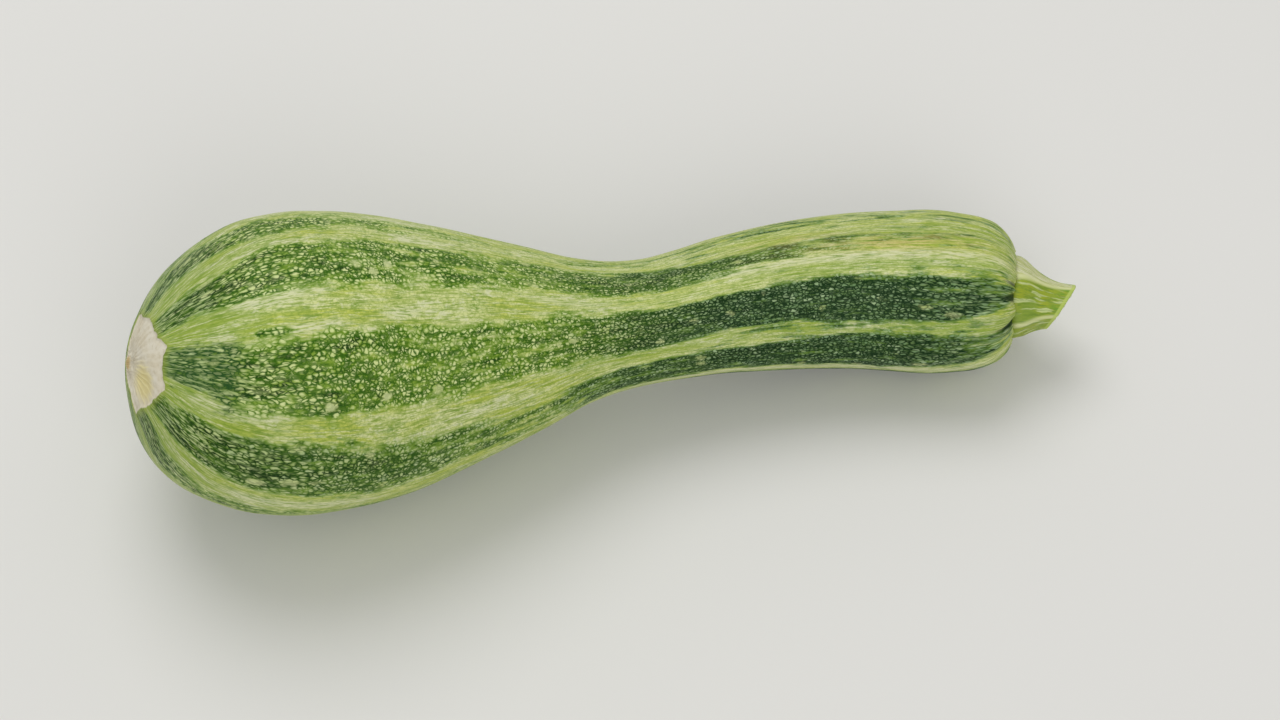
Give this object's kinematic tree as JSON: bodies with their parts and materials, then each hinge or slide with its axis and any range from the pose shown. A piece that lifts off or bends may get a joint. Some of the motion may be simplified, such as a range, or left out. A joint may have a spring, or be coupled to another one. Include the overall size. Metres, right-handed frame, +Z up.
{
  "type": "courgette",
  "caption": "Pear-shaped striped courgette lying on its side, with a corky blossom scar and a short ridged stem cut at a slant.",
  "frame": {"origin": "centre of the bounding box, on the surface that the fruit lies on", "axes": "+X along the fruit from the blossom end to the stem, +Z up, the blossom end turned up and towards -Y"},
  "size_m": [0.2468, 0.0939, 0.0797],
  "materials": {
    "skin": "smooth waxy vegetable skin in long dark green and pale yellow-green stripes flecked with cream, dull and corky at the blossom scar",
    "stalk": "ridged yellow-green plant stalk with cream ridges and a pale moist cut"
  },
  "bodies": {
    "root": {"fruit": "skin", "stem": "stalk"}
  },
  "joints": []
}
